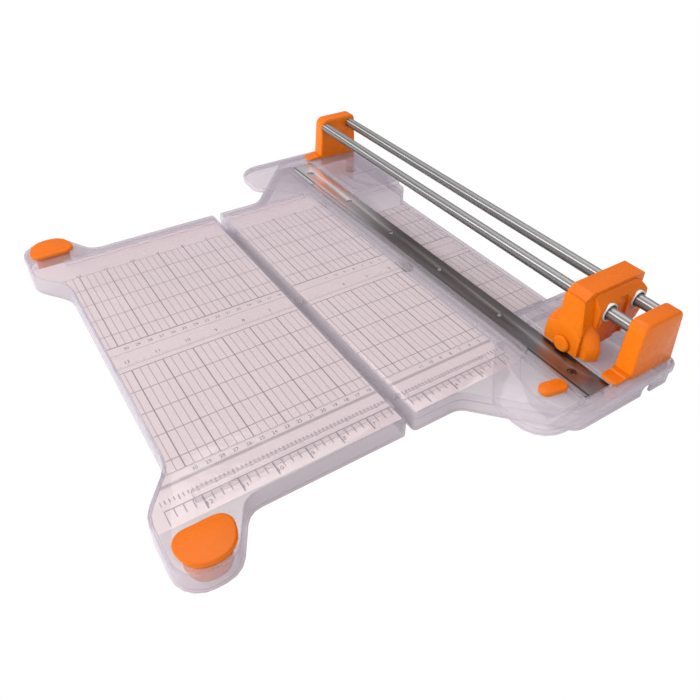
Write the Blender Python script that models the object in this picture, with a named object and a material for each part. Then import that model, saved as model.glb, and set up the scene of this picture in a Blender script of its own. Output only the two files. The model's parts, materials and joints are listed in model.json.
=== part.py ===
"""Rotary paper trimmer with a fold-under leaf: clear moulded base, twin guide rails and a sliding blade carriage.

All sizes below are millimetres; the scene itself is in metres.
X runs across the cut (the leaf is on the -X side), Y runs along the cut, Z is up.
The origin is on the table, under the middle of the open trimmer.
"""

import math

import bmesh
import bpy
from mathutils import Matrix

MM = 0.001
GAP = 0.3                  # clearance between neighbouring pieces

# Whole trimmer
HALF_LENGTH = 248.3        # Y, tips of the end platforms
HALF_WIDTH = 204.2         # X, reach of the leaf lobes

# Heights above the table
FOOT_HEIGHT = 3.0
DECK_Z = 21.3              # top of the paper deck
OFFCUT_DROP = 5.1          # the offcut shelf lies this far below the deck
WALL = 2.2                 # moulded wall thickness
SHEET = 0.5                # printed sheet thickness

# Fold hinge between the base and the leaf
HINGE_X = -12.2
HINGE_Z = 2.85
KNUCKLE_RADIUS = 2.65
HINGE_PIN_RADIUS = 1.2
FOLD_GAP = 3.2             # from the hinge axis to each moulded side wall
HINGE_STATIONS = {"near": -150.0, "middle": -6.0, "far": 138.0}
OUTER_KNUCKLE = 9.0
INNER_KNUCKLE = 14.0

# Deck outline along Y
DECK_NEAR = -180.3
DECK_FAR = 168.9
DECK_MIDDLE = (DECK_NEAR + DECK_FAR) / 2
SHEET_NEAR = -176.5        # printed area of both decks
SHEET_FAR = 161.0
BASE_END = 245.6
BASE_RIGHT = 201.6
SHELF_RIGHT = 181.6
PLATFORM_Y = 130.8         # inner edge of both end platforms

# Cutting line
CUT_X = 135.6
BAR_LEFT = 109.0
BAR_THICKNESS = 2.5
BAR_NEAR = -234.0
BAR_FAR = 224.0
SLOT_LEFT = 133.5
SLOT_RIGHT = 137.7
SLOT_DEPTH = 7.0
SLOT_HALF = 222.0

# Clear top frame: two end platforms joined by a guard strip
FRAME_TOP = DECK_Z + 2.0
FRAME_BOTTOM = DECK_Z + GAP
FRAME_SKIRT = 6.0
FRAME_RIGHT = 201.9
STRIP_LEFT = 95.0
STRIP_RIGHT = 112.2

# Rails and posts
RAIL_X = {"left": 158.5, "right": 191.5}
RAIL_Z = DECK_Z + 40.1
RAIL_RADIUS = 5.25
POST_INNER = 223.5
POST_THICKNESS = 17.5
POST_LEFT = 150.9
POST_RIGHT = 200.6
POST_TAPER = 2.0           # the outer face leans in this much at the top
POST_TOP = DECK_Z + 49.5
RAIL_SEAT = 12.0

# Carriage
CARRIAGE_Y = -185.9
BODY_HALF = 9.5
BOSS_HALF = 17.3
BUSHING_HALF = 18.3
BUSHING_RADIUS = 8.0
CARRIAGE_TOP = DECK_Z + 58.4
GUARD_BOTTOM = DECK_Z + 2.4
GUARD_NEAR = 14.8          # the guard is cut flat on its near side, this far from the axle
COVER_RADIUS = 20.4
SEAM_X = CUT_X + 1.0       # the blade cover meets the housing here

# Blade
BLADE_Z = DECK_Z + 8.2
BLADE_RADIUS = 14.0
BLADE_LEFT = CUT_X + 0.3
BLADE_THICKNESS = 0.4
AXLE_RADIUS = 2.0

# Corner pads on the leaf and the latch on the near platform
PAD_TOP = DECK_Z + 3.3
LATCH_X = 94.4
LATCH_Y = -214.5
LATCH_TOP = DECK_Z + 5.2
LATCH_TILT = -12.0         # degrees; the latch slides along its own length

ARC_STEPS = 5              # straight pieces in a quarter turn of an outline
ROUND_STEPS = 24


# ---------------------------------------------------------------- outlines

def edge_normal(start, end):
    """Unit vector to the left of the edge, which is inward on a counter-clockwise outline."""
    dx, dy = end[0] - start[0], end[1] - start[1]
    length = math.hypot(dx, dy)
    return -dy / length, dx / length


def inset(corners, distance):
    """Move every side of a counter-clockwise outline inward, keeping its rounding concentric."""
    moved = []
    for i, (x, y, radius) in enumerate(corners):
        before = edge_normal(corners[i - 1], corners[i])
        after = edge_normal(corners[i], corners[(i + 1) % len(corners)])
        scale = distance / (1 + before[0] * after[0] + before[1] * after[1])
        turn = before[0] * after[1] - before[1] * after[0]
        new_radius = radius - distance * math.copysign(1, turn) if radius else 0.0
        moved.append((x + (before[0] + after[0]) * scale, y + (before[1] + after[1]) * scale,
                      max(new_radius, 0.2)))
    return moved


def rounded(corners):
    """Turn (x, y, radius) corners into the points of a filleted outline."""
    points = []
    for i, (x, y, radius) in enumerate(corners):
        before, after = corners[i - 1], corners[(i + 1) % len(corners)]
        angle_in = math.atan2(before[1] - y, before[0] - x)
        angle_out = math.atan2(after[1] - y, after[0] - x)
        spread = (angle_out - angle_in + math.pi) % (2 * math.pi) - math.pi
        if radius < 0.1:
            points.append((x, y))
            continue
        reach = radius / abs(math.tan(spread / 2))
        hub = radius / abs(math.sin(spread / 2))
        middle = angle_in + spread / 2
        cx, cy = x + hub * math.cos(middle), y + hub * math.sin(middle)
        start = math.atan2(y + reach * math.sin(angle_in) - cy, x + reach * math.cos(angle_in) - cx)
        end = math.atan2(y + reach * math.sin(angle_out) - cy, x + reach * math.cos(angle_out) - cx)
        sweep = (end - start + math.pi) % (2 * math.pi) - math.pi
        steps = max(1, round(ARC_STEPS * abs(sweep) / (math.pi / 2)))
        for k in range(steps + 1):
            a = start + sweep * k / steps
            points.append((cx + radius * math.cos(a), cy + radius * math.sin(a)))
    return points


def rectangle(x0, x1, y0, y1, radius=0.0):
    return [(x0, y0, radius), (x1, y0, radius), (x1, y1, radius), (x0, y1, radius)]


def mirrored_y(corners, about=0.0):
    """The other half of a symmetric outline, in reversed order so that it stays counter-clockwise."""
    return [(x, 2 * about - y, radius) for x, y, radius in reversed(corners)]


# ---------------------------------------------------------------- solids

def new_object(name, verts, faces, at=(0, 0, 0)):
    mesh = bpy.data.meshes.new(name)
    mesh.from_pydata([[(c + offset) * MM for c, offset in zip(v, at)] for v in verts], [], faces)
    obj = bpy.data.objects.new(name, mesh)
    bpy.context.scene.collection.objects.link(obj)
    return obj


def prism(name, corners, low, high, axis="z", at=(0, 0, 0)):
    """Extrude an outline along an axis; an outline for axis y is drawn in X and Z."""
    flat = rounded(corners)
    count = len(flat)
    place = {"z": lambda u, v, w: (u, v, w), "y": lambda u, v, w: (u, w, v), "x": lambda u, v, w: (w, u, v)}[axis]
    verts = [place(u, v, low) for u, v in flat] + [place(u, v, high) for u, v in flat]
    faces = [tuple(range(count - 1, -1, -1)), tuple(range(count, 2 * count))]
    faces += [(i, (i + 1) % count, count + (i + 1) % count, count + i) for i in range(count)]
    if axis == "y":
        faces = [tuple(reversed(face)) for face in faces]
    return new_object(name, verts, faces, at)


def turned(name, profile, axis, at, steps=ROUND_STEPS):
    """Revolve a (radius, height) profile from low to high on its outside; a ring's profile comes back down inside."""
    solid = profile[0][0] == 0
    if solid:
        profile = profile[1:-1]
    angles = [2 * math.pi * (k + 0.5) / steps for k in range(steps)]
    verts = [(radius * math.cos(a), radius * math.sin(a), height) for radius, height in profile for a in angles]
    rings = [list(range(i * steps, (i + 1) * steps)) for i in range(len(profile))]
    faces = []
    for ring, above in zip(rings, rings[1:] + ([] if solid else rings[:1])):
        faces += [(ring[k - 1], ring[k], above[k], above[k - 1]) for k in range(steps)]
    if solid:
        faces += [tuple(reversed(rings[0])), tuple(rings[-1])]
    turn = {"z": lambda v: v, "x": lambda v: (v[2], v[0], v[1]), "y": lambda v: (v[1], v[2], v[0])}[axis]
    obj = new_object(name, [turn(v) for v in verts], faces, at)
    shade_round(obj)
    return obj


def cylinder(name, radius, low, high, axis, at, steps=ROUND_STEPS):
    return turned(name, [(0, low), (radius, low), (radius, high), (0, high)], axis, at, steps)


def shade_round(obj):
    obj.data.shade_smooth()
    obj.data.set_sharp_from_angle(angle=math.radians(40))


def combine(obj, tools, operation):
    """Apply one exact Boolean for each tool, then remove the tool."""
    bpy.context.view_layer.objects.active = obj
    for tool in tools:
        modifier = obj.modifiers.new(operation.lower(), "BOOLEAN")
        modifier.operation = operation
        modifier.solver = "EXACT"
        modifier.object = tool
        bpy.ops.object.modifier_apply(modifier=modifier.name)
        bpy.data.objects.remove(tool)
    return obj


def cut(obj, *tools):
    return combine(obj, tools, "DIFFERENCE")


def fuse(obj, *tools):
    return combine(obj, tools, "UNION")


def round_top(obj, width, segments=2):
    """Round the rim of the highest flat face of a moulding."""
    shape = bmesh.new()
    shape.from_mesh(obj.data)
    top = max(v.co.z for v in shape.verts) - 1e-6
    rim = [edge for edge in shape.edges if all(v.co.z > top for v in edge.verts)]
    bmesh.ops.bevel(shape, geom=rim, offset=width * MM, segments=segments, profile=0.5, affect="EDGES")
    shape.to_mesh(obj.data)
    shape.free()
    return obj


def round_edges(obj, width, segments=2, limit=50.0):
    """Soften the sharp edges of a moulded piece."""
    modifier = obj.modifiers.new("round_edges", "BEVEL")
    modifier.width = width * MM
    modifier.segments = segments
    modifier.limit_method = "ANGLE"
    modifier.angle_limit = math.radians(limit)
    bpy.context.view_layer.objects.active = obj
    bpy.ops.object.modifier_apply(modifier=modifier.name)
    return obj


def box(name, x0, x1, y0, y1, z0, z1):
    return prism(name, rectangle(x0, x1, y0, y1), z0, z1)


# ---------------------------------------------------------------- materials

def material(name, colour, roughness, metallic=0.0, alpha=1.0):
    made = bpy.data.materials.new(name)
    made.use_nodes = True
    shader = made.node_tree.nodes["Principled BSDF"]
    shader.inputs["Base Color"].default_value = (*colour, 1.0)
    shader.inputs["Roughness"].default_value = roughness
    shader.inputs["Metallic"].default_value = metallic
    shader.inputs["Alpha"].default_value = alpha
    return made


def make_materials():
    return {
        "clear": material("clear_plastic", (0.80, 0.78, 0.84), 0.12, alpha=0.45),
        "print": material("printed_sheet", (0.87, 0.84, 0.84), 0.6),
        "orange": material("orange_plastic", (0.90, 0.27, 0.02), 0.28),
        "bar": material("satin_steel", (0.42, 0.38, 0.37), 0.35, 0.9),
        "chrome": material("chrome_plate", (0.75, 0.75, 0.76), 0.08, 1.0),
        "steel": material("bright_steel", (0.62, 0.62, 0.64), 0.25, 1.0),
        "bushing": material("bushing_plastic", (0.72, 0.71, 0.70), 0.45),
        "rubber": material("foot_rubber", (0.10, 0.10, 0.11), 0.8),
    }


def paint(obj, made, parent=None):
    obj.data.materials.clear()
    obj.data.materials.append(made)
    if parent is not None:
        obj.parent = parent
        obj.matrix_parent_inverse = Matrix.Translation([-c for c in parent.location])
    return obj


def pivot(name, at):
    """Empty on a joint's axis that carries every piece of one moving body."""
    empty = bpy.data.objects.new(name, None)
    empty.location = [c * MM for c in at]
    empty.empty_display_size = 0.02
    bpy.context.scene.collection.objects.link(empty)
    return empty


# ---------------------------------------------------------------- outlines of the mouldings

def base_corners():
    """Base shell seen from above: narrow deck on the left, flared ends, waisted offcut shelf on the right."""
    left = HINGE_X + FOLD_GAP
    return [
        (left, DECK_NEAR, 3.5), (33.6, DECK_NEAR, 14), (94.0, -BASE_END, 16), (BASE_RIGHT, -BASE_END, 8),
        (BASE_RIGHT, -157.0, 12), (SHELF_RIGHT, -127.0, 12), (SHELF_RIGHT, 97.0, 8), (BASE_RIGHT, 121.0, 13),
        (BASE_RIGHT, BASE_END, 8), (105.0, BASE_END, 16), (37.0, DECK_FAR, 14), (left, DECK_FAR, 3.5),
    ]


def leaf_corners():
    """Leaf seen from above: straight hinge side and a rounded lobe at each outer corner."""
    right = HINGE_X - FOLD_GAP
    near_half = [
        (-179.8, -128.0, 24), (-HALF_WIDTH, -160.0, 24), (-HALF_WIDTH, -217.9, 21.5), (-165.0, -217.9, 19),
        (-143.5, DECK_NEAR, 15), (right, DECK_NEAR, 3.5),
    ]
    return near_half + mirrored_y(near_half, DECK_MIDDLE)


def frame_corners():
    """Outer outline of the clear top frame, without its middle window on the right."""
    far_half = [
        (112.2, 0.0, 0), (112.2, 172.0, 3), (107.7, 172.0, 3), (107.7, 227.0, 5), (138.7, 227.0, 3),
        (138.7, PLATFORM_Y, 7), (FRAME_RIGHT, PLATFORM_Y, 9), (FRAME_RIGHT, HALF_LENGTH, 10),
        (48.0, HALF_LENGTH, 26), (48.0, 199.0, 12), (STRIP_LEFT, 151.0, 10), (STRIP_LEFT, 0.0, 0),
    ]
    far_half = far_half[1:-1]
    near_half = [(x, -237.0 if y == 227.0 else -y, r) for x, y, r in far_half]
    return far_half + near_half[::-1]


def pad_corners():
    """Grip pad: a D with its straight side towards the deck."""
    return inset([(-192.5, -212.3, 15), (-164.5, -212.3, 15), (-158.8, -185.7, 8), (-198.2, -185.7, 8)], -2.4)


# ---------------------------------------------------------------- hinge

def knuckle(name, side, y0, y1):
    """Barrel round the hinge axis with a web to the moulding on one side; side is -1 for the leaf."""
    barrel = cylinder(name, KNUCKLE_RADIUS, y0, y1, "y", (HINGE_X, 0, HINGE_Z), 16)
    reach = HINGE_X + side * (FOLD_GAP + 1.2)
    web = box("web", min(HINGE_X, reach), max(HINGE_X, reach), y0 + 0.2, y1 - 0.2, HINGE_Z + 0.3, HINGE_Z + 2.2)
    return fuse(barrel, web)


def add_knuckles(shell, side):
    half = INNER_KNUCKLE / 2
    for middle in HINGE_STATIONS.values():
        if side < 0:
            spans = [(middle - half, middle + half)]
        else:
            inner = half + 2 * GAP
            spans = [(middle - inner - OUTER_KNUCKLE, middle - inner), (middle + inner, middle + inner + OUTER_KNUCKLE)]
        for y0, y1 in spans:
            fuse(shell, knuckle("knuckle", side, y0, y1))
        bore = cylinder("bore", HINGE_PIN_RADIUS + GAP, -20, 20, "y", (HINGE_X, middle, HINGE_Z), 12)
        cut(shell, bore)


def make_hinge_pins(materials):
    half = INNER_KNUCKLE / 2 + OUTER_KNUCKLE
    for place, middle in HINGE_STATIONS.items():
        pin = cylinder(f"hinge_pin_{place}", HINGE_PIN_RADIUS, -half, half, "y", (HINGE_X, middle, HINGE_Z), 12)
        paint(pin, materials["steel"])


# ---------------------------------------------------------------- leaf

RIB_BOTTOM = 9.0
RIB_TOP = DECK_Z - WALL - 2 * GAP - SHEET
FENCE_HEIGHT = 3.2
FENCES = ((-168.0, -159.5, 74.0), (149.9, 154.9, 86.0))    # Y from, Y to, and how far right they reach on the base


def rib(y, x0, x1):
    return box("rib", x0, x1, y - 1.2, y + 1.2, RIB_BOTTOM, RIB_TOP)


def foot_boss(x, y, top):
    boss = cylinder("boss", 6.0, FOOT_HEIGHT + GAP, top, "z", (x, y, 0), 16)
    return cut(boss, cylinder("socket", 2.6, 0, 7.0, "z", (x, y, 0), 12))


def foot(name, x, y, materials, parent=None):
    profile = [(0, 0), (5.6, 0), (6.3, 0.8), (6.3, FOOT_HEIGHT), (2.3, FOOT_HEIGHT), (2.3, 6.6), (0, 6.6)]
    paint(turned(name, profile, "z", (x, y, 0), 16), materials["rubber"], parent)


LEAF_FEET = {"leaf_foot_near": (-60.0, -150.0), "leaf_foot_far": (-60.0, 138.0)}


def make_leaf(materials, parent):
    corners = leaf_corners()
    shell = round_top(prism("leaf_shell", corners, FOOT_HEIGHT, DECK_Z), 2.2)
    cut(shell, prism("hollow", inset(corners, WALL), 0, DECK_Z - WALL))
    left, right = -179.0, HINGE_X - FOLD_GAP - 1.0
    for y in HINGE_STATIONS.values():
        fuse(shell, rib(y, left, right))
    for x, y in LEAF_FEET.values():
        fuse(shell, foot_boss(x, y, RIB_TOP - 0.5))
    for y0, y1, _ in FENCES:
        fuse(shell, box("fence", -173.0, -19.5, y0, y1, DECK_Z - 0.5, DECK_Z + FENCE_HEIGHT))
    add_knuckles(shell, -1)
    hole = inset(pad_corners(), 4.4 - GAP)
    for opening in (hole, mirrored_y(hole, DECK_MIDDLE)):
        cut(shell, prism("pad_hole", opening, 0, DECK_Z + 5))
    paint(shell, materials["clear"], parent)

    top = DECK_Z - WALL - GAP
    sheet = prism("leaf_grid_sheet", inset(corners, WALL + 0.8), top - SHEET, top)
    combine(sheet, [box("print_area", -300, 0, SHEET_NEAR, SHEET_FAR, 0, 40)], "INTERSECT")
    paint(sheet, materials["print"], parent)
    for name, (x, y) in LEAF_FEET.items():
        foot(name, x, y, materials, parent)


def make_pad(name, corners, materials, parent):
    """Two-ended grip pad: its stem passes through the leaf and stands on the table."""
    pad = prism(name, corners, DECK_Z + GAP, PAD_TOP)
    round_top(pad, 2.2, segments=3)
    fuse(pad, prism("stem", inset(corners, 4.4), 0, DECK_Z + 1.0))
    shade_round(pad)
    paint(pad, materials["orange"], parent)


# ---------------------------------------------------------------- base

BAR_SCREWS = {"bar_end_screw_near": -208.8, "bar_end_screw_far": 199.0}
BAR_SCREW_X = 121.9
BAR_RIVETS = {"bar_screw_1": -124.0, "bar_screw_2": -41.0, "bar_screw_3": 38.0, "bar_screw_4": 117.0}
BAR_RIVET_X = 124.2
POST_SCREW_X = {"left": 160.0, "right": 190.0}
POST_SCREW_Y = {"near": -232.2, "far": 232.2}
BASE_FEET = {
    "base_foot_near_left": (15.0, -150.0), "base_foot_far_left": (15.0, 138.0), "base_foot_middle": (118.0, 0.0),
    "base_foot_near_right": (190.5, -217.0), "base_foot_far_right": (190.5, 217.0),
}


def make_base_shell(materials):
    corners = base_corners()
    step = DECK_Z - OFFCUT_DROP
    shell = round_top(prism("base_shell", corners, FOOT_HEIGHT, DECK_Z), 2.2)
    cut(shell,
        box("shelf_step", SLOT_RIGHT - 0.5, 260, -PLATFORM_Y + 0.5, PLATFORM_Y - 0.5, step, 40),
        box("blade_slot", SLOT_LEFT, SLOT_RIGHT, -SLOT_HALF, SLOT_HALF, DECK_Z - SLOT_DEPTH, 40),
        box("bar_seat", BAR_LEFT - GAP, CUT_X + GAP, BAR_NEAR - GAP, BAR_FAR + GAP,
            DECK_Z - BAR_THICKNESS - GAP, 40))
    slot_roof = DECK_Z - SLOT_DEPTH - WALL
    right, end = BASE_RIGHT - WALL - 0.5, BASE_END - WALL - 0.5
    near_right = [(141.0, -end, 0), (right, -end, 5.8), (right, -157.5, 10), (190.0, -141.0, 0), (141.0, -141.0, 0)]
    far_right = [(141.0, 141.0, 0), (194.0, 141.0, 0), (right, 150.0, 0), (right, end, 5.8), (141.0, end, 0)]
    inner = inset(corners, WALL + 0.5)
    deck_room = inner[:2] + [(88.5, -234.0, 0), (105.0, -234.0, 0), (105.0, 232.0, 0), (97.5, 232.0, 0)] + inner[-2:]
    cut(shell,
        prism("hollow", inset(corners, WALL), 0, slot_roof),
        prism("deck_hollow", deck_room, slot_roof - 1, DECK_Z - WALL),
        box("bar_hollow", 103.0, SLOT_LEFT - WALL, -235.0, 235.0, slot_roof - 1, DECK_Z - BAR_THICKNESS - 3.0),
        box("shelf_hollow", 141.0, SHELF_RIGHT - WALL, -122.0, 91.0, slot_roof - 1, step - WALL),
        prism("near_hollow", near_right, slot_roof - 1, DECK_Z - WALL),
        prism("far_hollow", far_right, slot_roof - 1, DECK_Z - WALL))
    add_knuckles(shell, 1)
    for y in HINGE_STATIONS.values():
        fuse(shell, rib(y, HINGE_X + FOLD_GAP + 1.0, 106.5))
    for y0, y1, reach in FENCES:
        fuse(shell, box("fence", -3.5, reach, y0, y1, DECK_Z - 0.5, DECK_Z + FENCE_HEIGHT))
    for name, (x, y) in BASE_FEET.items():
        top = {"left": RIB_TOP - 0.5, "middle": DECK_Z - 5.0, "right": DECK_Z - 1.0}[name.split("_")[-1]]
        fuse(shell, foot_boss(x, y, top))
    holes = [cylinder("hole", 2.1, 0, 40, "z", (BAR_SCREW_X, y, 0), 12) for y in BAR_SCREWS.values()]
    holes += [cylinder("hole", 1.6, 0, 40, "z", (BAR_RIVET_X, y, 0), 12) for y in BAR_RIVETS.values()]
    holes += [cylinder("hole", 2.3, 0, 40, "z", (x, y, 0), 12)
              for x in POST_SCREW_X.values() for y in POST_SCREW_Y.values()]
    cut(shell, *holes, tongue("near", GAP), tongue("far", GAP))
    cut(shell, prism("hand_notch", rectangle(164.6, 175.4, FOOT_HEIGHT - 8, FOOT_HEIGHT + 9.5, 4.5),
                     -BASE_END - 5, -BASE_END + 5, "y"))
    paint(shell, materials["clear"])


def make_base_sheets(materials):
    top = DECK_Z - WALL - GAP
    main = rectangle(HINGE_X + FOLD_GAP + WALL + 0.8, 96.0, SHEET_NEAR, SHEET_FAR)
    paint(prism("base_grid_sheet", main, top - SHEET, top), materials["print"])
    top = DECK_Z - OFFCUT_DROP - WALL - GAP
    shelf = rectangle(141.6, SHELF_RIGHT - WALL - 0.6, -121.0, 90.0)
    paint(prism("offcut_grid_sheet", shelf, top - SHEET, top), materials["print"])


def make_top_frame(materials):
    """Clear frame over both ends of the deck: lobes, guard strip beside the bar, and the ground for the posts."""
    corners = frame_corners()
    frame = round_top(prism("top_frame", corners, FRAME_TOP - FRAME_SKIRT, FRAME_TOP), 1.4)
    cut(frame,
        prism("skirt_hollow", inset(corners, 2.0), 0, FRAME_BOTTOM),
        prism("base_room", inset(base_corners(), -0.5), 0, FRAME_BOTTOM))
    tray = [(98.3, -176.0, 4), (81.5, -194.3, 8), (77.5, -211.1, 10), (79.0, -223.0, 8), (84.5, -238.2, 8),
            (106.2, -238.2, 3), (106.2, -176.0, 3)]
    cut(frame, prism("tray", tray, 0, 40))
    holes = [cylinder("hole", 2.3, 0, 40, "z", (x, y, 0), 12)
             for x in POST_SCREW_X.values() for y in POST_SCREW_Y.values()]
    notch = prism("hand_notch", rectangle(163.8, 176.2, 5.0, 19.8, 5.0), -HALF_LENGTH - 5, -HALF_LENGTH + 5, "y")
    recess = prism("recess", rectangle(156.0, 196.5, 154.2, 166.8, 1.5), FRAME_TOP - 0.5, 40)
    cut(frame, *holes, tongue("near", GAP), tongue("far", GAP), notch, recess)
    paint(frame, materials["clear"])


def tongue(end, room):
    """Tongue under a post, or with more room the slot that takes it, along the post's inner face."""
    side = -1 if end == "near" else 1
    low, high = sorted((side * (POST_INNER + 0.2 - room), side * (POST_INNER + 4.4 + room)))
    return box("tongue", POST_LEFT + 2.1 - room, 197.9 + room, low, high, FOOT_HEIGHT + 11.5 - room, FRAME_TOP + 1)


def screw_profile(head_radius, head_height, shank_radius, length):
    """Cylindrical head with a cross recess left to the surface maker; the shank points down from height 0."""
    return [(0, -length), (shank_radius, -length), (shank_radius, -head_height), (head_radius, -head_height),
            (head_radius, -0.3), (head_radius - 0.3, 0), (0, 0)]


def make_cutting_bar(materials):
    bar_outline = [(BAR_LEFT, BAR_NEAR, 3), (CUT_X, BAR_NEAR, 0), (CUT_X, BAR_FAR, 0), (BAR_LEFT, BAR_FAR, 10)]
    bar = prism("cutting_bar", bar_outline, DECK_Z - BAR_THICKNESS, DECK_Z)
    seats = [cylinder("seat", 3.9, 0, 40, "z", (BAR_SCREW_X, y, 0), 16) for y in BAR_SCREWS.values()]
    seats += [cylinder("seat", 2.6, 0, 40, "z", (BAR_RIVET_X, y, 0), 16) for y in BAR_RIVETS.values()]
    cut(bar, *seats)
    paint(bar, materials["bar"])
    for name, y in BAR_SCREWS.items():
        profile = screw_profile(3.5, BAR_THICKNESS - 0.1, 1.7, 9.0)
        screw = turned(name, profile, "z", (BAR_SCREW_X, y, DECK_Z), 16)
        slot = fuse(box("slot", -1.9, 1.9, -0.4, 0.4, -0.9, 1), box("slot", -0.4, 0.4, -1.9, 1.9, -0.9, 1))
        slot.data.transform(Matrix.Translation((BAR_SCREW_X * MM, y * MM, DECK_Z * MM)))
        paint(cut(screw, slot), materials["steel"])
    for name, y in BAR_RIVETS.items():
        profile = screw_profile(2.2, BAR_THICKNESS - 0.1, 1.2, 9.0)
        paint(turned(name, profile, "z", (BAR_RIVET_X, y, DECK_Z), 12), materials["steel"])


# ---------------------------------------------------------------- rails and posts

def make_post(end, materials):
    """Upright end block: tapered sides, rounded top corners, blind rail seats and a small foot tab."""
    side = -1 if end == "near" else 1
    bottom = FRAME_TOP + GAP
    inner, outer = side * POST_INNER, side * (POST_INNER + POST_THICKNESS)
    low, high = min(inner, outer), max(inner, outer)
    outline = [(POST_LEFT, bottom - 4, 0), (POST_RIGHT, bottom - 4, 0), (POST_RIGHT - 2.0, POST_TOP, 6),
               (POST_LEFT + 2.4, POST_TOP, 8)]
    post = prism(f"{end}_rail_post", outline, low, high, "y")
    for vertex in post.data.vertices:
        if abs(vertex.co.y) > (POST_INNER + 1) * MM:
            height = (vertex.co.z / MM - bottom) / (POST_TOP - bottom)
            vertex.co.y -= side * POST_TAPER * height * MM
    round_edges(post, 2.4, segments=3, limit=60.0)
    tab_low, tab_high = sorted((side * (POST_INNER + 1.2), side * (POST_INNER + POST_THICKNESS - 1.6)))
    tab = [(134.6, bottom - 4, 0), (POST_LEFT + 4, bottom - 4, 0), (POST_LEFT + 4, bottom + 3.4, 0),
           (146.4, bottom + 3.4, 0.6), (145.2, bottom + 2.0, 0.6), (134.6, bottom + 1.8, 1)]
    plan = prism("tab_plan", rectangle(134.6, 160.0, tab_low, tab_high, 3.4), -20, 60)
    fuse(post, round_edges(combine(prism("tab", tab, tab_low, tab_high, "y"), [plan], "INTERSECT"), 0.5, limit=60.0))
    cut(post, box("floor", 100, 230, low - 15, high + 15, -10, bottom))
    fuse(post, tongue(end, 0.0))
    seat_y = side * (POST_INNER + RAIL_SEAT / 2 - 1)
    reach = RAIL_SEAT / 2 + 1 + GAP
    seats = [cylinder("seat", RAIL_RADIUS + GAP, -reach, reach, "y", (x, seat_y, RAIL_Z)) for x in RAIL_X.values()]
    threads = [cylinder("thread", 1.9, -5, 12, "z", (x, POST_SCREW_Y[end], bottom), 12)
               for x in POST_SCREW_X.values()]
    cut(post, *seats, *threads)
    shade_round(post)
    paint(post, materials["orange"])
    for hand, x in POST_SCREW_X.items():
        seat = DECK_Z - WALL - GAP
        profile = [(0, seat - 2.4), (3.2, seat - 2.4), (3.6, seat - 1.8), (3.6, seat), (1.5, seat),
                   (1.5, bottom + 10), (0, bottom + 10)]
        screw = turned(f"{end}_post_screw_{hand}", profile, "z", (x, POST_SCREW_Y[end], 0), 12)
        paint(screw, materials["steel"])


def make_rails(materials):
    half = POST_INNER + RAIL_SEAT - 0.5
    profile = [(0, -half), (RAIL_RADIUS - 0.6, -half), (RAIL_RADIUS, -half + 0.6), (RAIL_RADIUS, half - 0.6),
               (RAIL_RADIUS - 0.6, half), (0, half)]
    for hand, x in RAIL_X.items():
        paint(turned(f"{hand}_guide_rail", profile, "y", (x, 0, RAIL_Z), 32), materials["chrome"])


# ---------------------------------------------------------------- carriage and blade

def boss_block(side, top):
    """Thick half of the bridge round both rails, on one side of the carriage; its floor rises to the right."""
    left = RAIL_X["left"] - 12.4
    right = 201.9
    outline = [(left, DECK_Z + 8.6, 1), (182.0, DECK_Z + 11.6, 6), (196.2, DECK_Z + 20.5, 6), (right, DECK_Z + 31.0, 6),
               (right, top, 12), (left, top, 3)]
    low, high = sorted((0.0, side * BOSS_HALF))
    block = round_edges(prism("block", outline, low, high, "y", (0, CARRIAGE_Y, 0)), 0.9, limit=60.0)
    start, drop = side * (BODY_HALF - 0.6), 11.5
    slope = [(start, top + 1.6, 0), (side * 30.0, top + 1.6 - drop * 2.4, 0), (side * 30.0, top + 12, 0),
             (start, top + 12, 0)]
    if side < 0:
        slope.reverse()
    return cut(block, prism("slope", slope, 100, 240, "x", (0, CARRIAGE_Y, 0)))


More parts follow.
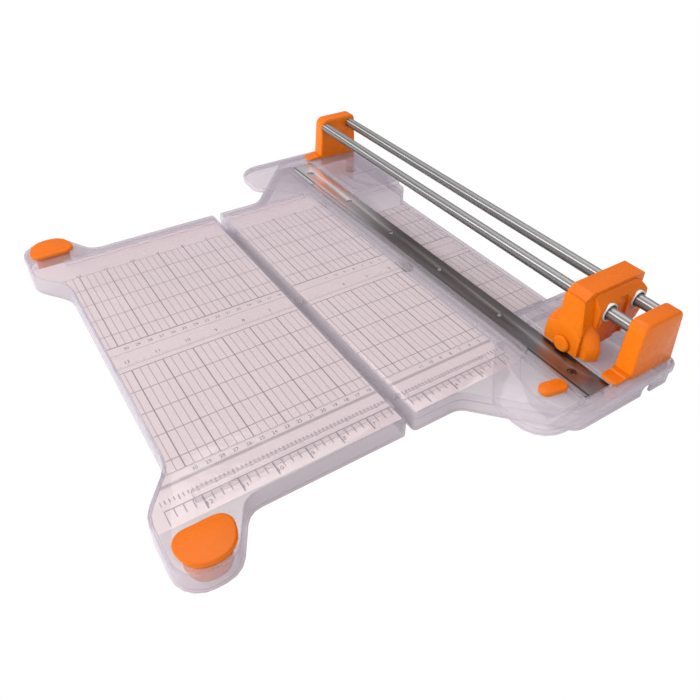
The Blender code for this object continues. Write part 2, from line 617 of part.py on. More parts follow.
def make_housing(materials, parent):
    """Bridge over both rails, a leg down to the blade and the right half of the round blade guard."""
    left = SEAM_X + GAP
    right = 203.6
    leg_right = CUT_X + 12.4
    roof = [
        (left + 0.2, DECK_Z + 30.0, 0), (right, DECK_Z + 40.0, 4), (right, CARRIAGE_TOP, 2.5),
        (left + 6.5, CARRIAGE_TOP, 3), (left + 0.2, CARRIAGE_TOP - 4.4, 1),
    ]
    body = prism("carriage_housing", roof, -BODY_HALF, BODY_HALF, "y", (0, CARRIAGE_Y, 0))
    leg = [(-GUARD_NEAR + 0.3, GUARD_BOTTOM, 0), (BODY_HALF - 0.3, GUARD_BOTTOM, 0),
           (BODY_HALF - 0.3, CARRIAGE_TOP - 5.2, 0), (-BODY_HALF - 0.8, CARRIAGE_TOP - 5.2, 2.5),
           (-GUARD_NEAR + 0.3, DECK_Z + 26.0, 10)]
    fuse(body, prism("leg", leg, left, leg_right, "x", (0, CARRIAGE_Y, 0)))
    fuse(body, boss_block(-1, RAIL_Z + 15.5))
    fuse(body, boss_block(1, RAIL_Z + 10.5))
    drum = [(0, left - CUT_X), (21.2, left - CUT_X), (24.0, 3.8), (26.6, 8.2), (26.9, 10.0), (25.9, 12.0),
            (23.8, 13.2), (20.0, 13.6), (0, 13.6)]
    guard = turned("guard", drum, "x", (CUT_X, CARRIAGE_Y, BLADE_Z), 40)
    cut(guard, box("flat", 100, 180, CARRIAGE_Y - 40, CARRIAGE_Y + 40, -10, GUARD_BOTTOM))
    fuse(body, guard)
    groove = rectangle(RAIL_X["left"] + 12.4, RAIL_X["right"] - 12.0, DECK_Z - 5, CARRIAGE_TOP + 5)
    tools = [cylinder("axle_hole", AXLE_RADIUS + GAP, 0, 20, "x", (CUT_X, CARRIAGE_Y, BLADE_Z), 16),
             cylinder("spring_seat", 5.6, 0, 5.2, "x", (CUT_X, CARRIAGE_Y, BLADE_Z)),
             cylinder("nut_room", 6.3, 14.4, 21.0, "x", (CUT_X, CARRIAGE_Y, BLADE_Z))]
    tools += [prism("groove", groove, side - 3, side + 3, "y", (0, CARRIAGE_Y, 0))
              for side in (-BOSS_HALF - 1.2, BOSS_HALF + 1.2)]
    for x in RAIL_X.values():
        tools.append(cylinder("rail_hole", RAIL_RADIUS + 1.2, -30, 30, "y", (x, CARRIAGE_Y, RAIL_Z)))
        for side in (-1, 1):
            low, high = sorted((side * 9.0, side * 30.0))
            tools.append(cylinder("bushing_hole", BUSHING_RADIUS + GAP, low, high, "y", (x, CARRIAGE_Y, RAIL_Z)))
    cut(body, *tools)
    shade_round(body)
    paint(body, materials["orange"], parent)


def make_blade_cover(materials, parent):
    """Left side of the carriage: round cup over the blade, cut flat on the near side, and a strip up to the top."""
    open_side = SEAM_X - CUT_X
    bore = 5.8
    profile = [(bore, -2.0), (COVER_RADIUS - 1.6, -2.0), (COVER_RADIUS - 0.4, -1.6), (COVER_RADIUS, -0.6),
               (COVER_RADIUS, open_side), (14.35, open_side), (14.35, -0.3), (bore, -0.3)]
    cover = turned("blade_cover", profile, "x", (CUT_X, CARRIAGE_Y, BLADE_Z), 40)
    strip = [(-GUARD_NEAR, BLADE_Z + 15.2, 0), (BODY_HALF - 0.2, BLADE_Z + 15.2, 0),
             (BODY_HALF - 0.2, CARRIAGE_TOP - 4.6, 2.5), (-BODY_HALF - 1.1, CARRIAGE_TOP - 4.6, 2.5),
             (-GUARD_NEAR, DECK_Z + 26.0, 10)]
    fuse(cover, prism("strip", strip, CUT_X - 1.4, SEAM_X - 0.1, "x", (0, CARRIAGE_Y, 0)))
    cut(cover, box("flat", 100, 180, CARRIAGE_Y - 40, CARRIAGE_Y + 40, -10, GUARD_BOTTOM),
        box("near_flat", 100, 180, CARRIAGE_Y - 40, CARRIAGE_Y - GUARD_NEAR, -10, 100))
    shade_round(cover)
    paint(cover, materials["orange"], parent)
    cap = turned("blade_cap", [(0, -5.2), (6.0, -5.2), (7.4, -4.2), (7.4, -2.3), (0, -2.3)], "x",
                 (CUT_X, CARRIAGE_Y, BLADE_Z))
    cut(cap, box("flat", 100, 180, CARRIAGE_Y - 40, CARRIAGE_Y + 40, -10, GUARD_BOTTOM))
    shade_round(cap)
    paint(cap, materials["orange"], parent)


def make_bushings(materials, parent):
    for hand, x in RAIL_X.items():
        for end, side in (("near", -1), ("far", 1)):
            bore, mouth = RAIL_RADIUS + GAP, 6.8
            profile = [(bore, 9.4), (BUSHING_RADIUS, 9.4), (BUSHING_RADIUS, BUSHING_HALF), (mouth, BUSHING_HALF),
                       (mouth, 13.0), (bore, 13.0)]
            if side < 0:
                profile = [(radius, -height) for radius, height in reversed(profile)]
            sleeve = turned(f"{hand}_bushing_{end}", profile, "y", (x, CARRIAGE_Y, RAIL_Z))
            paint(sleeve, materials["bushing"], parent)


def make_blade(materials, carriage, spindle):
    at = (CUT_X, CARRIAGE_Y, BLADE_Z)
    low, high = BLADE_LEFT - CUT_X, BLADE_LEFT - CUT_X + BLADE_THICKNESS
    middle = (low + high) / 2
    edge = BLADE_RADIUS
    blade = [(4.4, low), (edge - 1.5, low), (edge, middle - 0.06), (edge, middle + 0.06), (edge - 1.5, high), (4.4, high)]
    paint(turned("rotary_blade", blade, "x", at, 48), materials["steel"], spindle)
    bore = AXLE_RADIUS + GAP
    hub = [(bore, -1.8), (5.5, -1.8), (5.5, low - GAP), (4.1, low - GAP), (4.1, 2.6), (bore, 2.6)]
    paint(turned("blade_hub", hub, "x", at), materials["bushing"], spindle)
    spring = [(3.0, 2.9), (3.6, 2.9), (5.0, 4.3), (5.0, 4.8), (4.4, 4.8), (3.0, 3.5)]
    paint(turned("blade_spring_washer", spring, "x", at), materials["steel"], carriage)
    axle = [(0, -2.0), (AXLE_RADIUS, -2.0), (AXLE_RADIUS, 17.4), (0, 17.4)]
    paint(turned("blade_axle", axle, "x", at, 16), materials["steel"], carriage)
    nut = [(AXLE_RADIUS + GAP, 14.7), (4.2, 14.7), (4.2, 17.7), (AXLE_RADIUS + GAP, 17.7)]
    paint(turned("axle_nut", nut, "x", at, 6), materials["steel"], carriage)


# ---------------------------------------------------------------- latch

def make_latch(materials, parent):
    """Thumb latch: a long rounded button standing in the tray of the near platform."""
    c, s = math.cos(math.radians(LATCH_TILT)), math.sin(math.radians(LATCH_TILT))
    outline = [(x * c - y * s, x * s + y * c, r) for x, y, r in rectangle(-12.2, 11.3, -7.4, 5.4, 6.0)]
    button = prism("latch_button", outline, DECK_Z + GAP, LATCH_TOP, at=(LATCH_X, LATCH_Y, 0))
    round_edges(button, 1.4, limit=70.0)
    shade_round(button)
    paint(button, materials["orange"], parent)


# ---------------------------------------------------------------- assembly

def main():
    for obj in list(bpy.data.objects):
        bpy.data.objects.remove(obj)
    materials = make_materials()
    leaf_pivot = pivot("leaf_pivot", (HINGE_X, DECK_MIDDLE, HINGE_Z))
    carriage_slide = pivot("carriage_slide", (RAIL_X["left"], CARRIAGE_Y, RAIL_Z))
    blade_pivot = pivot("blade_pivot", (CUT_X, CARRIAGE_Y, BLADE_Z))
    latch_slide = pivot("latch_slide", (LATCH_X, LATCH_Y, DECK_Z))

    make_base_shell(materials)
    make_base_sheets(materials)
    make_top_frame(materials)
    make_cutting_bar(materials)
    make_hinge_pins(materials)
    for name, (x, y) in BASE_FEET.items():
        foot(name, x, y, materials)
    for end in ("near", "far"):
        make_post(end, materials)
    make_rails(materials)

    make_leaf(materials, leaf_pivot)
    make_pad("near_corner_pad", pad_corners(), materials, leaf_pivot)
    make_pad("far_corner_pad", mirrored_y(pad_corners(), DECK_MIDDLE), materials, leaf_pivot)

    make_housing(materials, carriage_slide)
    make_blade_cover(materials, carriage_slide)
    make_bushings(materials, carriage_slide)
    make_blade(materials, carriage_slide, blade_pivot)
    make_latch(materials, latch_slide)


main()
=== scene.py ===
"""Looks of the rotary paper trimmer: materials, printed scales, rounded pieces, studio, camera.

Lengths are in metres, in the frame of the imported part: X across the cut, Y along it, Z up.
"""

import json
import math

import bmesh
import bpy
from mathutils import Matrix, Vector

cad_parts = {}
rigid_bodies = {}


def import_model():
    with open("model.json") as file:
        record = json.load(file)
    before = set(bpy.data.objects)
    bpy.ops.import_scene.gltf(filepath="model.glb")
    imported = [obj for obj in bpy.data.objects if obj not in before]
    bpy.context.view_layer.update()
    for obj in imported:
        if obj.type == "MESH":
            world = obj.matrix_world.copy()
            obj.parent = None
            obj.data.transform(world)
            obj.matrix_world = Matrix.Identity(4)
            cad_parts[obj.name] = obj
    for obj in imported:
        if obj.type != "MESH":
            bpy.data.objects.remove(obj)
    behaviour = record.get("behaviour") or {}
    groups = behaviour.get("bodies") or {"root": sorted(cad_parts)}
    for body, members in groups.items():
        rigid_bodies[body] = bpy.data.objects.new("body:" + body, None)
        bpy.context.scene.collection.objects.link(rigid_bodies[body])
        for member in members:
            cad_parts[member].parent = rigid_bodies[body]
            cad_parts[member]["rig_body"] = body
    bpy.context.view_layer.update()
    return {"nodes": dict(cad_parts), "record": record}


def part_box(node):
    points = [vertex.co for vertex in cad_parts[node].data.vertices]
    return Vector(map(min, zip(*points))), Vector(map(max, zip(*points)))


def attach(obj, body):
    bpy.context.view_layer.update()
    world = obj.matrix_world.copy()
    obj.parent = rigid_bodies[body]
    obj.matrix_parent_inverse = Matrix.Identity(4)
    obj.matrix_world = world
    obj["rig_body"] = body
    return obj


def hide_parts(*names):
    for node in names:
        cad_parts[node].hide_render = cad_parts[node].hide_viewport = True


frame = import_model()
NODES = frame["nodes"]
MM = 0.001
INCH = 0.0254
CENTIMETRE = 1 / 2.54                                # in inches

CUT_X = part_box("cutting_bar")[1].x + 1.8 * MM        # printed distances are counted from here
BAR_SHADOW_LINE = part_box("cutting_bar")[0].x + 3.9 * MM   # middle of the painted shadow line along the bar
ROW_ZERO = -48.0 * MM                                # where the inch rows start


# ---------------------------------------------------------------- node helpers

class Graph:
    """The node tree of a material or a world, with one short call for each kind of node."""

    def __init__(self, owner, output="ShaderNodeOutputMaterial"):
        owner.use_nodes = True
        self.owner = owner
        self.nodes = owner.node_tree.nodes
        self.links = owner.node_tree.links
        self.nodes.clear()
        self.output = self.nodes.new(output)

    def put(self, socket, value):
        if isinstance(value, bpy.types.NodeSocket):
            self.links.new(value, socket)
        elif value is not None:
            socket.default_value = value

    def put_colour(self, socket, value):
        self.put(socket, value if isinstance(value, bpy.types.NodeSocket) else (*value, 1.0))

    def node(self, kind, inputs=None, **settings):
        made = self.nodes.new("ShaderNode" + kind)
        for key, value in settings.items():
            setattr(made, key, value)
        for key, value in (inputs or {}).items():
            self.put(made.inputs[key], value)
        return made

    def math(self, operation, a, b=None):
        return self.node("Math", {0: a, 1: b}, operation=operation).outputs[0]

    def position(self):
        return self.node("TexCoord").outputs["Object"]

    def normal(self):
        return self.node("NewGeometry").outputs["Normal"]

    def backfacing(self):
        return self.node("NewGeometry").outputs["Backfacing"]

    def split(self, vector):
        return self.node("SeparateXYZ", {0: vector}).outputs

    def dot(self, a, b):
        made = self.node("VectorMath", {0: a, 1: b}, operation="DOT_PRODUCT")
        return made.outputs["Value"]

    def stretch(self, vector, scale, turn=(0, 0, 0)):
        inputs = {"Vector": vector, "Scale": scale, "Rotation": turn}
        return self.node("Mapping", inputs).outputs[0]

    def noise(self, vector, scale, detail=2.0, rough=0.5):
        inputs = {"Vector": vector, "Scale": scale, "Detail": detail, "Roughness": rough}
        return self.node("TexNoise", inputs).outputs[0]

    def remap(self, value, low, high, to_low=0.0, to_high=1.0, smooth=False):
        made = self.node("MapRange", {0: value, 1: low, 2: high, 3: to_low, 4: to_high})
        if smooth:
            made.interpolation_type = "SMOOTHSTEP"
        return made.outputs[0]

    def mix(self, factor, a, b, blend="MIX"):
        made = self.node("Mix", {0: factor}, data_type="RGBA", blend_type=blend)
        self.put_colour(made.inputs[6], a)
        self.put_colour(made.inputs[7], b)
        return made.outputs[2]

    def ramp(self, value, stops, tint=(1.0, 1.0, 1.0)):
        """A ramp of greys; each stop is (place, grey), in rising order of place."""
        made = self.node("ValToRGB", {0: value})
        elements = made.color_ramp.elements
        elements[0].position = stops[0][0]
        elements[1].position = stops[-1][0]
        for place, _ in stops[1:-1]:
            elements.new(place)
        for element, (_, grey) in zip(elements, stops):
            element.color = (*(grey * channel for channel in tint), 1.0)
        return made.outputs[0]

    def bump(self, height, strength, distance):
        inputs = {"Height": height, "Strength": strength, "Distance": distance}
        return self.node("Bump", inputs).outputs[0]

    def shade(self, factor, a, b):
        return self.node("MixShader", {0: factor, 1: a, 2: b}).outputs[0]

    def principled(self, colour, **inputs):
        names = {"rough": "Roughness", "metal": "Metallic", "normal": "Normal",
                 "glow": "Subsurface Weight", "specular": "Specular IOR Level"}
        shader = self.node("BsdfPrincipled")
        self.put_colour(shader.inputs["Base Color"], colour)
        for key, value in inputs.items():
            self.put(shader.inputs[names[key]], value)
        return shader.outputs[0]

    def finish(self, shader):
        self.links.new(shader, self.output.inputs[0])
        return self.owner


def new_material(name):
    """A fresh material's graph, and the point being shaded."""
    g = Graph(bpy.data.materials.new(name))
    return g, g.position()


# ---------------------------------------------------------------- materials

def clear_plastic():
    """Water-clear moulding with a lavender cast, deeper at grazing angles and along its edges."""
    g, where = new_material("clear_plastic")
    ripple = g.bump(g.noise(where, 55.0), 0.12, 0.002)
    edge = g.node("LayerWeight", {"Blend": 0.5, "Normal": ripple}).outputs["Facing"]
    edge = g.math("POWER", edge, 3.0)
    softened = g.node("Bevel", {"Radius": 1.3 * MM}, samples=4).outputs[0]
    flat = g.normal()
    rim = g.remap(g.dot(softened, flat), 0.998, 0.94)
    edge = g.math("MAXIMUM", edge, g.math("MULTIPLY", rim, 0.9))
    tint = g.mix(edge, (0.942, 0.925, 0.934), (0.50, 0.43, 0.55))
    through = g.node("BsdfTransparent", {"Color": tint}).outputs[0]

    haze_colour = g.mix(g.noise(where, 900.0, 3.0), (0.72, 0.67, 0.71), (0.82, 0.78, 0.81))
    haze = g.node("BsdfDiffuse", {"Color": haze_colour, "Normal": ripple}).outputs[0]
    upright = g.math("SUBTRACT", 1.0, g.math("ABSOLUTE", g.split(flat)[2]))
    share = g.remap(edge, 0.0, 1.0, 0.045, 0.24)
    share = g.math("ADD", share, g.math("MULTIPLY", upright, 0.10))
    body = g.shade(share, through, haze)

    smear = g.noise(g.stretch(where, (1.0, 3.0, 1.0)), 30.0, 3.0)
    gloss = {"Color": (1, 1, 1, 1), "Roughness": g.remap(smear, 0.3, 0.7, 0.05, 0.14),
             "Normal": ripple}
    shine = g.node("BsdfGlossy", gloss).outputs[0]
    index = g.remap(g.backfacing(), 0.0, 1.0, 1.52, 1 / 1.52)
    fresnel = g.node("Fresnel", {"IOR": index, "Normal": ripple}).outputs[0]
    return g.finish(g.shade(fresnel, body, shine))


def orange_plastic():
    """Moulded orange plastic with a fine grain; faces that look up are painted a deeper orange, as
    painted shade.
    """
    g, where = new_material("orange_plastic")
    cloud = g.noise(where, 38.0, 3.0)
    sides = g.mix(cloud, (0.68, 0.146, 0.003), (0.74, 0.168, 0.004))
    # painted shade: faces that look up get a darker orange than the sides
    painted_shade_tops = g.mix(cloud, (0.50, 0.098, 0.002), (0.55, 0.112, 0.002))
    up = g.split(g.normal())[2]
    colour = g.mix(g.remap(up, 0.1, 0.9, smooth=True), sides, painted_shade_tops)
    worn = g.remap(g.noise(where, 160.0, 4.0), 0.35, 0.7, 0.24, 0.36)
    grain = g.bump(g.noise(where, 1500.0), 0.10, 0.0003)
    return g.finish(g.principled(colour, rough=worn, specular=0.18, glow=0.04, normal=grain))


def satin_steel():
    """Steel bar ground along its length. Painted reflection makes it lighter at the near end and
    much lighter to the far end; a painted shadow line runs along it, and faces that don't look up
    are painted near black as shade.
    """
    g, where = new_material("satin_steel")
    fine = g.noise(g.stretch(where, (1.0, 0.012, 1.0)), 2600.0, 4.0, 0.6)
    broad = g.noise(g.stretch(where, (1.0, 0.05, 1.0)), 160.0, 3.0)
    across, along, _ = g.split(where)
    middle, near_reflection = (0.15, 0.122, 0.124), (0.25, 0.235, 0.245)
    colour = g.mix(g.remap(broad, 0.3, 0.7), middle, (0.21, 0.182, 0.186))
    # painted reflection: lighter towards the near end and much lighter towards the far end
    colour = g.mix(g.remap(along, -0.12, -0.18, smooth=True), colour, near_reflection)
    far_reflection = (0.86, 0.82, 0.84)
    colour = g.mix(g.remap(along, 0.02, 0.15, smooth=True), colour, far_reflection)
    # painted shadow: a dark line along the bar where the frame meets it
    off_shadow_line = g.math("ABSOLUTE", g.math("SUBTRACT", across, BAR_SHADOW_LINE))
    shadow_line = g.remap(off_shadow_line, 0.5 * MM, 1.0 * MM)
    colour = g.mix(shadow_line, (0.035, 0.028, 0.035), colour)
    # painted shade: faces that don't look up are painted near black
    up = g.split(g.normal())[2]
    colour = g.mix(g.remap(up, 0.3, 0.9), (0.02, 0.016, 0.02), colour)
    rough = g.remap(fine, 0.25, 0.75, 0.26, 0.42)
    return g.finish(g.principled(colour, rough=rough, metal=1.0, normal=g.bump(fine, 0.16, 0.0002)))


def chrome_plate():
    """Ground and plated tube: painted reflection, long light and dark bands set by which way the
    surface faces, so they keep their place round the tube.
    """
    g, where = new_material("chrome_plate")
    # painted reflection: light and dark bands chosen by the angle between the surface and a fixed
    # direction
    side = g.dot(g.normal(), (0.805, 0.0, 0.593))
    drift = g.remap(g.noise(where, 4.0, 1.0), 0.3, 0.7, -0.05, 0.05)
    around = g.math("ADD", g.remap(side, 1.0, -1.0), drift)
    painted_reflection_bands = g.ramp(around, ((0.0, 0.16), (0.10, 0.26), (0.34, 0.34), (0.47, 0.12), (0.58, 0.17),
                              (0.63, 0.88), (0.67, 0.88), (0.72, 0.15), (0.88, 0.28),
                              (1.0, 0.10)), (1.0, 0.98, 0.97))
    lines = g.noise(g.stretch(where, (1.0, 0.02, 1.0)), 900.0, 3.0)
    colour = g.mix(g.remap(lines, 0.3, 0.7, 0.0, 0.35), painted_reflection_bands, (0.16, 0.155, 0.155))
    rough = g.remap(lines, 0.3, 0.7, 0.22, 0.34)
    fine = g.bump(lines, 0.04, 0.0002)
    return g.finish(g.principled(colour, rough=rough, metal=0.55, normal=fine))


def bright_steel(name="bright_steel", shade=1.0):
    """Turned steel with fine scratches and faint stains; shade scales its brightness, for painted
    shade.
    """
    g, where = new_material(name)
    scratch = g.noise(g.stretch(where, (1.0, 0.2, 1.0), (0, 0, 0.7)), 1800.0, 3.0)
    stain = g.noise(where, 300.0, 3.0)
    dull, bright = (0.45, 0.44, 0.45), (0.66, 0.66, 0.67)
    colour = g.mix(stain, [channel * shade for channel in dull],
                   [channel * shade for channel in bright])
    rough = g.remap(scratch, 0.3, 0.7, 0.18, 0.34)
    fine = g.bump(scratch, 0.10, 0.0002)
    return g.finish(g.principled(colour, rough=rough, metal=1.0, normal=fine))


def bushing_nylon():
    """Off-white, slightly mottled nylon."""
    g, where = new_material("bushing_nylon")
    mottle = g.noise(where, 260.0, 4.0)
    colour = g.mix(mottle, (0.52, 0.50, 0.49), (0.68, 0.66, 0.64))
    rough = g.remap(mottle, 0.3, 0.7, 0.38, 0.52)
    grain = g.bump(g.noise(where, 2200.0), 0.15, 0.0002)
    return g.finish(g.principled(colour, rough=rough, glow=0.1, normal=grain))


def foot_rubber():
    """Matt dark rubber."""
    g, where = new_material("foot_rubber")
    colour = g.mix(g.noise(where, 120.0, 3.0), (0.035, 0.035, 0.038), (0.075, 0.072, 0.075))
    grain = g.bump(g.noise(where, 1900.0, 4.0, 0.7), 0.4, 0.0003)
    return g.finish(g.principled(colour, rough=0.82, normal=grain))


def print_ink():
    """Nearly black ink of uneven cover."""
    g, where = new_material("print_ink")
    colour = g.mix(g.noise(where, 700.0), (0.035, 0.028, 0.03), (0.075, 0.06, 0.065))
    return g.finish(g.principled(colour, rough=0.55))


# ---------------------------------------------------------------- printed scale

# All in inches: across from the cut, along from ROW_ZERO.
INK = (0.075, 0.055, 0.06)
PRINTED_REACH = (-5.0, 13.0)
GRID_FIELDS = ((-3.43, 1.0), (2.33, 6.92))
GRID_COLUMNS = ((0.25, 0.024, 0.62), (1.0, 0.034, 0.88))   # pitch, line width, strength
GRID_ROWS = (1.0, 0.036, 0.62)
RULES = (                                                  # place, line width, strength
    (-4.50, 0.035, 0.8), (-3.77, 0.11, 0.5), (-3.43, 0.03, 0.55), (1.0, 0.04, 0.65),
    (1.22, 0.03, 0.4), (1.9, 0.03, 0.45), (2.33, 0.045, 0.8), (6.92, 0.03, 0.55))
TICKS = (                                                  # pitch, width, strength, from, to
    (1 / 16, 0.010, 0.55, 1.22, 1.30),
    (0.25, 0.014, 0.6, 1.22, 1.36),
    (1 / 8, 0.030, 0.85, -4.30, -4.16),
    (0.5, 0.034, 0.9, -4.34, -4.16),
    (0.25, 0.030, 0.85, -4.80, -4.50),
    (1.0, 0.040, 0.95, -4.98, -4.50),
    (CENTIMETRE / 10, 0.008, 0.4, -3.50, -3.43),
    (CENTIMETRE, 0.014, 0.6, 1.84, 1.9))
INCH_NUMBER_ROWS = (1.45, 6.98)
RULER_NUMBER_ROW = -4.82
CENTIMETRE_NUMBER_ROWS = (2.1, -3.60)


class Ruling:
    """Draws lines in a shader: each call darkens the print where the point lies on a line."""

    def __init__(self, graph, across, along):
        self.g, self.across, self.along = graph, across, along
        self.ink = None

    def between(self, value, low, high):
        above = self.g.math("GREATER_THAN", value, low)
        return self.g.math("MULTIPLY", above, self.g.math("LESS_THAN", value, high))

    def stroke(self, distance, width, strength, within):
        soft = 0.35 * width
        mask = self.g.remap(distance, 0.5 * width - soft, 0.5 * width + soft, strength, 0.0,
                            smooth=True)
        mask = self.g.math("MULTIPLY", mask, within)
        self.ink = self.g.math("MAXIMUM", self.ink, mask) if self.ink else mask

    def columns(self, pitch, width, strength, within):
        """Lines along the cut, at a regular pitch from it."""
        self.stroke(self.g.math("PINGPONG", self.across, pitch / 2), width, strength, within)

    def rows(self, pitch, width, strength, within):
        self.stroke(self.g.math("PINGPONG", self.along, pitch / 2), width, strength, within)

    def rule(self, place, width, strength, within):
        distance = self.g.math("ABSOLUTE", self.g.math("SUBTRACT", self.along, place))
        self.stroke(distance, width, strength, within)


def printed_sheet():
    """Pinkish-white film printed with an inch grid, centimetre rows and fine ticks."""
    g, where = new_material("printed_sheet")
    x, y, _ = g.split(where)
    across = g.math("DIVIDE", g.math("SUBTRACT", CUT_X, x), INCH)
    along = g.math("DIVIDE", g.math("SUBTRACT", y, ROW_ZERO), INCH)
    ruling = Ruling(g, across, along)
    on_sheet = ruling.between(across, *PRINTED_REACH)
    for low, high in GRID_FIELDS:
        field = g.math("MULTIPLY", ruling.between(along, low, high), on_sheet)
        for column in GRID_COLUMNS:
            ruling.columns(*column, field)
        ruling.rows(*GRID_ROWS, field)
    for rule in RULES:
        ruling.rule(*rule, on_sheet)
    for pitch, width, strength, low, high in TICKS:
        band = g.math("MULTIPLY", ruling.between(along, low, high), on_sheet)
        ruling.columns(pitch, width, strength, band)

    paper = g.mix(g.noise(where, 20.0, 3.0), (0.80, 0.725, 0.705), (0.85, 0.775, 0.755))
    speck = g.noise(where, 1600.0, 3.0)
    paper = g.mix(g.remap(speck, 0.62, 0.75, 0.0, 0.25), paper, (0.55, 0.50, 0.50))
    colour = g.mix(ruling.ink, paper, INK)
    film = g.principled(colour, rough=g.remap(speck, 0.3, 0.7, 0.48, 0.62),
                        normal=g.bump(speck, 0.08, 0.0002))
    through = g.node("BsdfTranslucent", {"Color": colour}).outputs[0]
    return g.finish(g.shade(0.35, film, through))


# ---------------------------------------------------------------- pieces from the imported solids

MERGE_DISTANCE = 0.002 * MM
COPLANAR_ANGLE = math.radians(0.8)
ROUNDED_ANGLE = math.radians(30.0)     # sharper edges than this are rounded
CREASE_ANGLE = math.radians(38.0)      # sharper edges than this stay crisp in the shading
ROUNDING_STEPS = 3
ROUNDINGS = {"orange": 0.35, "bar": 0.25, "bushing": 0.25, "rubber": 0.4}   # mm, by slot


def link_object(name, data):
    made = bpy.data.objects.new(name, data)
    bpy.context.scene.collection.objects.link(made)
    return made


def refined(node, material, slot):
    """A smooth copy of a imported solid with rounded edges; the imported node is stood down."""
    source = NODES[node]
    mesh = source.data.copy()
    mesh.name = "look_" + node
    bm = bmesh.new()
    bm.from_mesh(mesh)
    bmesh.ops.remove_doubles(bm, verts=bm.verts, dist=MERGE_DISTANCE)
    bmesh.ops.dissolve_limit(bm, angle_limit=COPLANAR_ANGLE, verts=bm.verts, edges=bm.edges)
    bm.to_mesh(mesh)
    bm.free()
    if "custom_normal" in mesh.attributes:
        mesh.attributes.remove(mesh.attributes["custom_normal"])
    mesh.materials.clear()
    mesh.materials.append(material)
    piece = link_object("look_" + node, mesh)
    if slot in ROUNDINGS:
        rounding = piece.modifiers.new("rounding", "BEVEL")
        rounding.width = ROUNDINGS[slot] * MM
        rounding.segments = ROUNDING_STEPS
        rounding.limit_method = "ANGLE"
        rounding.angle_limit = ROUNDED_ANGLE
        bpy.context.view_layer.objects.active = piece
        bpy.ops.object.modifier_apply(modifier=rounding.name)
    piece.data.shade_smooth()
    piece.data.set_sharp_from_angle(angle=CREASE_ANGLE)
    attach(piece, source["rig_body"])
    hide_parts(node)


# ---------------------------------------------------------------- printed numbers

INK_THICKNESS = 0.02 * MM
INK_LIFT = 0.03 * MM                   # middle of the numbers above the sheet
INCH_NUMBER_SIZE = 5.2 * MM
CENTIMETRE_NUMBER_SIZE = 4.4 * MM
RULER_NUMBER_SHIFT = 2.2 * MM          # the ruler's numbers stand beside their ticks
LEFT_MARGIN, RIGHT_MARGIN = 29.0 * MM, 2.0 * MM


def number_row(name, labels, size, material, body):
    """One mesh holding a row of printed numbers; each label is (number, place)."""
    bm = bmesh.new()
    for number, place in labels:
        curve = bpy.data.curves.new(name, "FONT")
        curve.body = str(number)
        curve.size = size
        curve.align_x = "CENTER"
        curve.align_y = "CENTER"
        curve.extrude = INK_THICKNESS
        curve.resolution_u = 3
        holder = link_object(name, curve)
        bpy.context.view_layer.update()
        evaluated = holder.evaluated_get(bpy.context.evaluated_depsgraph_get())
        mesh = bpy.data.meshes.new_from_object(evaluated)
        mesh.transform(Matrix.Translation(place))
        bm.from_mesh(mesh)
        bpy.data.meshes.remove(mesh)
        bpy.data.objects.remove(holder)
        bpy.data.curves.remove(curve)
    joined = bpy.data.meshes.new(name)
    bm.to_mesh(joined)
    bm.free()
    joined.materials.clear()
    joined.materials.append(material)
    piece = link_object(name, joined)
    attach(piece, body)


def print_numbers(black):
    """Inch and centimetre numbers on the sheets of the leaf and the base."""
    for body in ("leaf", "base"):
        low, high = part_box(f"{body}_grid_sheet")
        z = high.z + INK_LIFT
        inches, centimetres = [], []
        for number in range(1, 14):
            x = CUT_X - number * INCH
            if low.x + LEFT_MARGIN < x < high.x - RIGHT_MARGIN:
                inches += [(number, (x, ROW_ZERO + row * INCH, z)) for row in INCH_NUMBER_ROWS]
                y = ROW_ZERO + RULER_NUMBER_ROW * INCH
                inches.append((number, (x + RULER_NUMBER_SHIFT, y, z)))
        for number in range(2, 34):
            x = CUT_X - number * 10.0 * MM
            if low.x + LEFT_MARGIN < x < high.x - RIGHT_MARGIN:
                centimetres += [(number, (x, ROW_ZERO + row * INCH, z))
                                for row in CENTIMETRE_NUMBER_ROWS]
        number_row(f"{body}_inch_numbers", inches, INCH_NUMBER_SIZE, black, body)
        number_row(f"{body}_centimetre_numbers", centimetres, CENTIMETRE_NUMBER_SIZE, black, body)


# ---------------------------------------------------------------- studio

FLOOR_HALF = 6.0
FLOOR_DROP = 0.2 * MM
LAMPS = (                              # name, place, size, watts, seen in reflections
    ("key", (-1.7, 0.5, 1.5), 2.4, 76.0, False),
    ("top", (0.2, 0.5, 2.2), 1.8, 20.0, True))


def build_floor():
    """Pale floor, white to the camera's direct rays, mid-tone where seen through the plastic: lit
    paper mixed with a painted glow, an emission that stands in for light beneath the trimmer.
    """
    side = FLOOR_HALF
    mesh = bpy.data.meshes.new("floor")
    corners = [(-side, -side, 0), (side, -side, 0), (side, side, 0), (-side, side, 0)]
    mesh.from_pydata(corners, [], [(0, 1, 2, 3)])
    floor = link_object("floor", mesh)
    floor.location.z = -FLOOR_DROP
    g, where = new_material("floor_paper")
    colour = g.mix(g.noise(where, 3.0), (0.62, 0.60, 0.62), (0.66, 0.64, 0.66))
    paper = g.node("BsdfDiffuse", {"Color": colour}).outputs[0]
    white = g.node("Emission", {"Color": (1, 1, 1, 1)}).outputs[0]
    # painted glow: an emission mixed into the floor seen through the plastic, standing in for light
    # beneath it
    painted_glow = g.node("Emission", {"Color": (0.66, 0.605, 0.625, 1)}).outputs[0]
    path = g.node("LightPath").outputs
    first = g.math("LESS_THAN", path["Transparent Depth"], 0.5)
    direct = g.math("MULTIPLY", path["Is Camera Ray"], first)
    beneath = g.shade(g.math("MULTIPLY", path["Is Camera Ray"], 0.55), paper, painted_glow)
    lit = g.shade(direct, beneath, white)
    clear = g.node("BsdfTransparent").outputs[0]
    mesh.materials.append(g.finish(g.shade(g.backfacing(), lit, clear)))


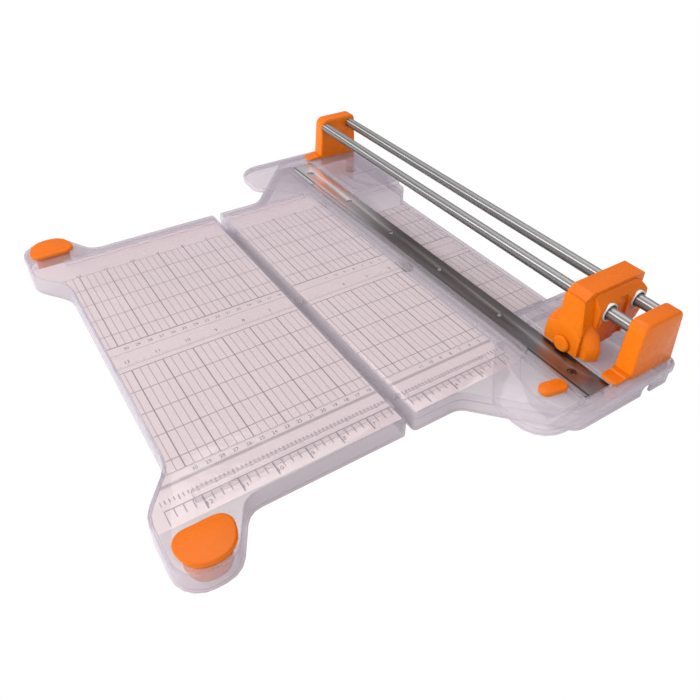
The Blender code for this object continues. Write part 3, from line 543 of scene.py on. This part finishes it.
def build_world():
    """Soft light from above and in front, darkest just over the horizon; white to the camera."""
    g = Graph(bpy.data.worlds.new("studio"), "ShaderNodeOutputWorld")
    direction = g.split(g.node("TexCoord").outputs["Generated"])
    sky = g.ramp(g.remap(direction[2], -1.0, 1.0),
                 ((0.0, 0.5), (0.50, 0.38), (0.56, 0.22), (0.66, 0.42), (0.80, 0.85), (1.0, 1.0)),
                 (1.0, 1.0, 1.01))
    front = g.remap(direction[1], -0.35, -0.95, 0.0, 0.7, smooth=True)
    both = g.mix(1.0, sky, front, "ADD")
    studio = g.node("Background", {0: both, 1: 0.85}).outputs[0]
    white = g.node("Background", {0: (1, 1, 1, 1)}).outputs[0]
    seen = g.node("LightPath").outputs["Is Camera Ray"]
    bpy.context.scene.world = g.finish(g.shade(seen, studio, white))


def hang_lamps():
    for name, place, size, watts, reflected in LAMPS:
        data = bpy.data.lights.new(name, "AREA")
        data.shape = "SQUARE"
        data.size = size
        data.energy = watts
        lamp = link_object(name, data)
        lamp.visible_glossy = reflected
        lamp.location = place
        lamp.rotation_euler = (-Vector(place)).to_track_quat("-Z", "Y").to_euler()


def place_camera():
    """The camera looks down on the near left corner of the trimmer."""
    data = bpy.data.cameras.new("camera")
    data.sensor_width = 36.0
    data.lens = 35.18
    data.shift_y = -1 / 14
    data.clip_start = 0.01
    camera = link_object("camera", data)
    right = Vector((0.84247, -0.53866, 0.00946))
    up = Vector((0.31392, 0.50510, 0.80394))
    back = Vector((-0.43783, -0.67433, 0.59463))
    turn = Matrix((right, up, back)).transposed().to_4x4()
    camera.matrix_world = Matrix.Translation((-0.2404, -0.4475, 0.3826)) @ turn
    bpy.context.scene.camera = camera


# ---------------------------------------------------------------- assembly

def dress():
    """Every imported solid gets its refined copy, in the finish of its material slot."""
    finishes = {"clear": clear_plastic(), "orange": orange_plastic(), "steel": bright_steel(),
                "chrome": chrome_plate(), "bar": satin_steel(), "bushing": bushing_nylon(),
                "rubber": foot_rubber(), "print": printed_sheet()}
    # painted shade: the near bar-end screw gets steel painted darker, as shade in its recess
    special = {"bar_end_screw_near": bright_steel("shaded_screw_steel", 0.3)}
    for row in frame["record"]["subparts"]:
        node, slot = row["node"], row["material_slot"]
        refined(node, special.get(node, finishes[slot]), slot)
    print_numbers(print_ink())


dress()
build_floor()
build_world()
hang_lamps()
place_camera()
bpy.context.scene.view_settings.view_transform = "Standard"
bpy.context.scene.cycles.transparent_max_bounces = 32
